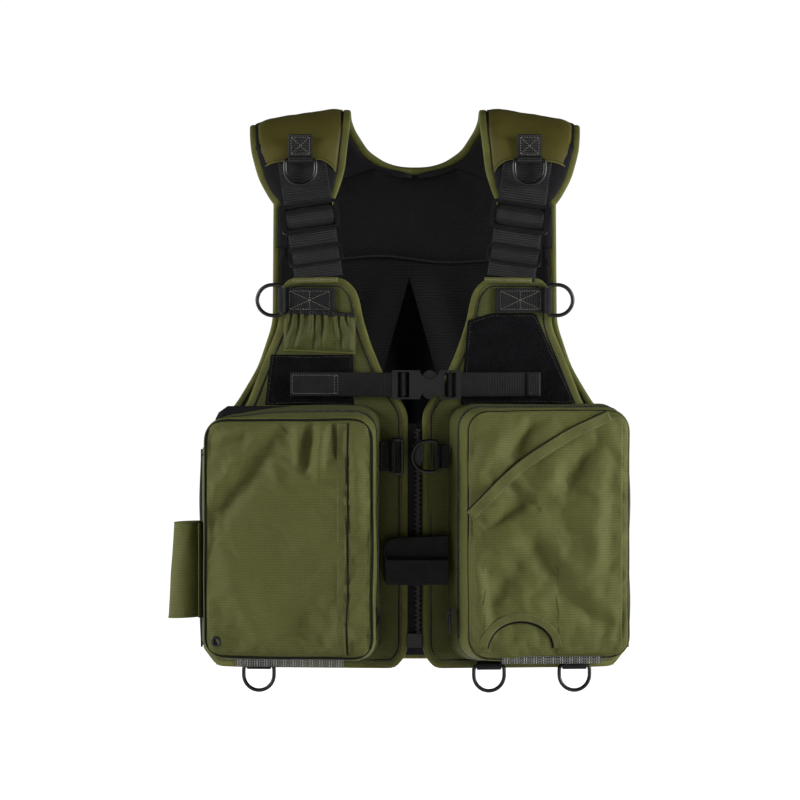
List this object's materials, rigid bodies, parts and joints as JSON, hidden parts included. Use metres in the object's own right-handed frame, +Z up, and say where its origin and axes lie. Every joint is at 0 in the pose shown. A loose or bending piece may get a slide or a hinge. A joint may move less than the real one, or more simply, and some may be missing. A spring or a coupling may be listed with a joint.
{
  "type": "fishing vest",
  "caption": "Hanging fishing vest with padded shoulders, chest buckle, front zip, two clamshell pockets, a tool sleeve and rings.",
  "frame": {"origin": "midway between the shoulders, under the shoulder pads, where a hanger or the wearer carries the vest", "axes": "+Z up, -Y towards the front, +X towards the wearer's left"},
  "size_m": [0.4851, 0.23, 0.6089],
  "materials": {
    "olive_fabric": "woven nylon, fine horizontal rib, dull",
    "black_fabric": "polyester mesh and lining, dull",
    "foam": "closed-cell foam sheet, dull",
    "webbing": "ribbed webbing, slight sheen",
    "loop_fabric": "brushed loop pile",
    "black_plastic": "moulded nylon, satin",
    "zip_plastic": "moulded, satin"
  },
  "bodies": {
    "vest": {"back_shell": "olive_fabric", "right_front_shell": "olive_fabric", "left_front_shell": "olive_fabric", "gathered_chest_pocket": "olive_fabric", "right_pocket_back": "olive_fabric", "left_pocket_back": "olive_fabric", "tool_sleeve": "olive_fabric", "back_lining": "black_fabric", "upper_back_pad": "black_fabric", "right_side_panel": "black_fabric", "left_side_panel": "black_fabric", "right_shoulder_pad": "black_fabric", "left_shoulder_pad": "black_fabric", "back_foam": "foam", "right_front_foam": "foam", "left_front_foam": "foam", "right_shoulder_strap": "webbing", "left_shoulder_strap": "webbing", "right_shoulder_ring_tab": "webbing", "left_shoulder_ring_tab": "webbing", "right_anchor_tab": "webbing", "left_anchor_tab": "webbing", "right_bottom_ring_tab": "webbing", "left_inner_bottom_ring_tab": "webbing", "left_outer_bottom_ring_tab": "webbing", "centre_ring_tab": "webbing", "centre_loop_tab": "webbing", "waist_loop": "webbing", "right_chest_strap": "webbing", "left_chest_strap": "webbing", "right_loop_patch": "loop_fabric", "left_loop_patch": "loop_fabric", "buckle_socket": "black_plastic", "buckle_plug": "black_plastic", "right_zip_stringer": "zip_plastic", "left_zip_stringer": "zip_plastic", "zip_box": "zip_plastic"},
    "front_zip_slider": {"front_zip_slider": "zip_plastic"},
    "front_zip_pull": {"front_zip_pull": "zip_plastic"},
    "right_pocket_lid": {"right_pocket_lid": "olive_fabric"},
    "right_pocket_zip_slider": {"right_pocket_zip_slider": "zip_plastic"},
    "right_pocket_zip_pull": {"right_pocket_zip_pull": "zip_plastic"},
    "right_strap_adjuster": {"right_strap_adjuster": "black_plastic"},
    "right_strap_keeper": {"right_strap_keeper": "black_plastic"},
    "right_shoulder_ring": {"right_shoulder_ring": "black_plastic"},
    "right_chest_ring": {"right_chest_ring": "black_plastic"},
    "left_pocket_lid": {"left_pocket_lid": "olive_fabric"},
    "left_pocket_zip_slider": {"left_pocket_zip_slider": "zip_plastic"},
    "left_pocket_zip_pull": {"left_pocket_zip_pull": "zip_plastic"},
    "left_strap_adjuster": {"left_strap_adjuster": "black_plastic"},
    "left_strap_keeper": {"left_strap_keeper": "black_plastic"},
    "left_shoulder_ring": {"left_shoulder_ring": "black_plastic"},
    "left_chest_ring": {"left_chest_ring": "black_plastic"},
    "right_bottom_ring": {"right_bottom_ring": "black_plastic"},
    "left_inner_bottom_ring": {"left_inner_bottom_ring": "black_plastic"},
    "left_outer_bottom_ring": {"left_outer_bottom_ring": "black_plastic"},
    "centre_ring": {"centre_ring": "black_plastic"},
    "centre_loop": {"centre_loop": "black_plastic"},
    "buckle_upper_prong": {"buckle_upper_prong": "black_plastic"},
    "buckle_lower_prong": {"buckle_lower_prong": "black_plastic"}
  },
  "joints": [
    {"name": "front_zip_slide", "type": "slide", "parent": "vest", "child": "front_zip_slider", "axis": [0, 0, 1], "range_m": [-0.176, 0]},
    {"name": "front_zip_pull_swing", "type": "hinge", "parent": "front_zip_slider", "child": "front_zip_pull", "pos_m": [0.003, -0.0934, -0.347], "axis": [-1, 0, 0], "range_deg": [0, 15]},
    {"name": "right_pocket_lid_hinge", "type": "hinge", "parent": "vest", "child": "right_pocket_lid", "pos_m": [-0.12711, -0.10323, -0.5616], "axis": [0.9903, -0.1392, 0], "range_deg": [0, 85]},
    {"name": "right_pocket_zip_slide", "type": "slide", "parent": "vest", "child": "right_pocket_zip_slider", "axis": [0, 0, 1], "range_m": [0, 0.19]},
    {"name": "right_pocket_zip_pull_swing", "type": "hinge", "parent": "right_pocket_zip_slider", "child": "right_pocket_zip_pull", "pos_m": [-0.03689, -0.11591, -0.515], "axis": [-0.1392, -0.9903, 0], "range_deg": [0, 150]},
    {"name": "right_strap_adjuster_slide", "type": "slide", "parent": "vest", "child": "right_strap_adjuster", "axis": [-0.1449, 0.1009, 0.9843], "range_m": [-0.012, 0.008]},
    {"name": "right_strap_keeper_slide", "type": "slide", "parent": "vest", "child": "right_strap_keeper", "axis": [-0.1449, 0.1009, 0.9843], "range_m": [-0.008, 0.003]},
    {"name": "right_shoulder_ring_swing", "type": "hinge", "parent": "vest", "child": "right_shoulder_ring", "pos_m": [-0.1195, -0.071, -0.042], "axis": [-1, 0, 0], "range_deg": [0, 150]},
    {"name": "right_chest_ring_swing", "type": "hinge", "parent": "vest", "child": "right_chest_ring", "pos_m": [-0.13863, -0.07838, -0.188], "axis": [0, 0, 1], "range_deg": [0, 110]},
    {"name": "left_pocket_lid_hinge", "type": "hinge", "parent": "vest", "child": "left_pocket_lid", "pos_m": [0.12711, -0.10323, -0.5616], "axis": [0.9903, 0.1392, 0], "range_deg": [0, 85]},
    {"name": "left_pocket_zip_slide", "type": "slide", "parent": "vest", "child": "left_pocket_zip_slider", "axis": [0, 0, 1], "range_m": [0, 0.19]},
    {"name": "left_pocket_zip_pull_swing", "type": "hinge", "parent": "left_pocket_zip_slider", "child": "left_pocket_zip_pull", "pos_m": [0.03541, -0.11611, -0.515], "axis": [-0.1392, 0.9903, 0], "range_deg": [0, 150]},
    {"name": "left_strap_adjuster_slide", "type": "slide", "parent": "vest", "child": "left_strap_adjuster", "axis": [0.1449, 0.1009, 0.9843], "range_m": [-0.012, 0.008]},
    {"name": "left_strap_keeper_slide", "type": "slide", "parent": "vest", "child": "left_strap_keeper", "axis": [0.1449, 0.1009, 0.9843], "range_m": [-0.008, 0.003]},
    {"name": "left_shoulder_ring_swing", "type": "hinge", "parent": "vest", "child": "left_shoulder_ring", "pos_m": [0.1195, -0.071, -0.042], "axis": [-1, 0, 0], "range_deg": [0, 150]},
    {"name": "left_chest_ring_swing", "type": "hinge", "parent": "vest", "child": "left_chest_ring", "pos_m": [0.13863, -0.07838, -0.188], "axis": [0, 0, -1], "range_deg": [0, 110]},
    {"name": "right_bottom_ring_swing", "type": "hinge", "parent": "vest", "child": "right_bottom_ring", "pos_m": [-0.16266, -0.07955, -0.5685], "axis": [0.9903, -0.1392, 0], "range_deg": [-80, 15]},
    {"name": "left_inner_bottom_ring_swing", "type": "hinge", "parent": "vest", "child": "left_inner_bottom_ring", "pos_m": [0.077, -0.09159, -0.5685], "axis": [0.9903, 0.1392, 0], "range_deg": [-80, 15]},
    {"name": "left_outer_bottom_ring_swing", "type": "hinge", "parent": "vest", "child": "left_outer_bottom_ring", "pos_m": [0.16612, -0.07906, -0.5685], "axis": [0.9903, 0.1392, 0], "range_deg": [-80, 15]},
    {"name": "centre_ring_swing", "type": "hinge", "parent": "vest", "child": "centre_ring", "pos_m": [0.023, -0.1005, -0.35], "axis": [0, 0, 1], "range_deg": [0, 100]},
    {"name": "centre_loop_swing", "type": "hinge", "parent": "vest", "child": "centre_loop", "pos_m": [-0.0225, -0.1005, -0.35], "axis": [0, 0, -1], "range_deg": [0, 100]},
    {"name": "upper_prong_squeeze", "type": "hinge", "parent": "vest", "child": "buckle_upper_prong", "pos_m": [0.0265, -0.0986, -0.269], "axis": [0, -1, 0], "range_deg": [0, 8], "stiffness_Nm_per_rad": 0.05},
    {"name": "lower_prong_squeeze", "type": "hinge", "parent": "vest", "child": "buckle_lower_prong", "pos_m": [0.0265, -0.0986, -0.282], "axis": [0, 1, 0], "range_deg": [0, 8], "stiffness_Nm_per_rad": 0.05}
  ],
  "couplings": [
    {"joint": "lower_prong_squeeze", "follows": "upper_prong_squeeze", "ratio": 1}
  ]
}
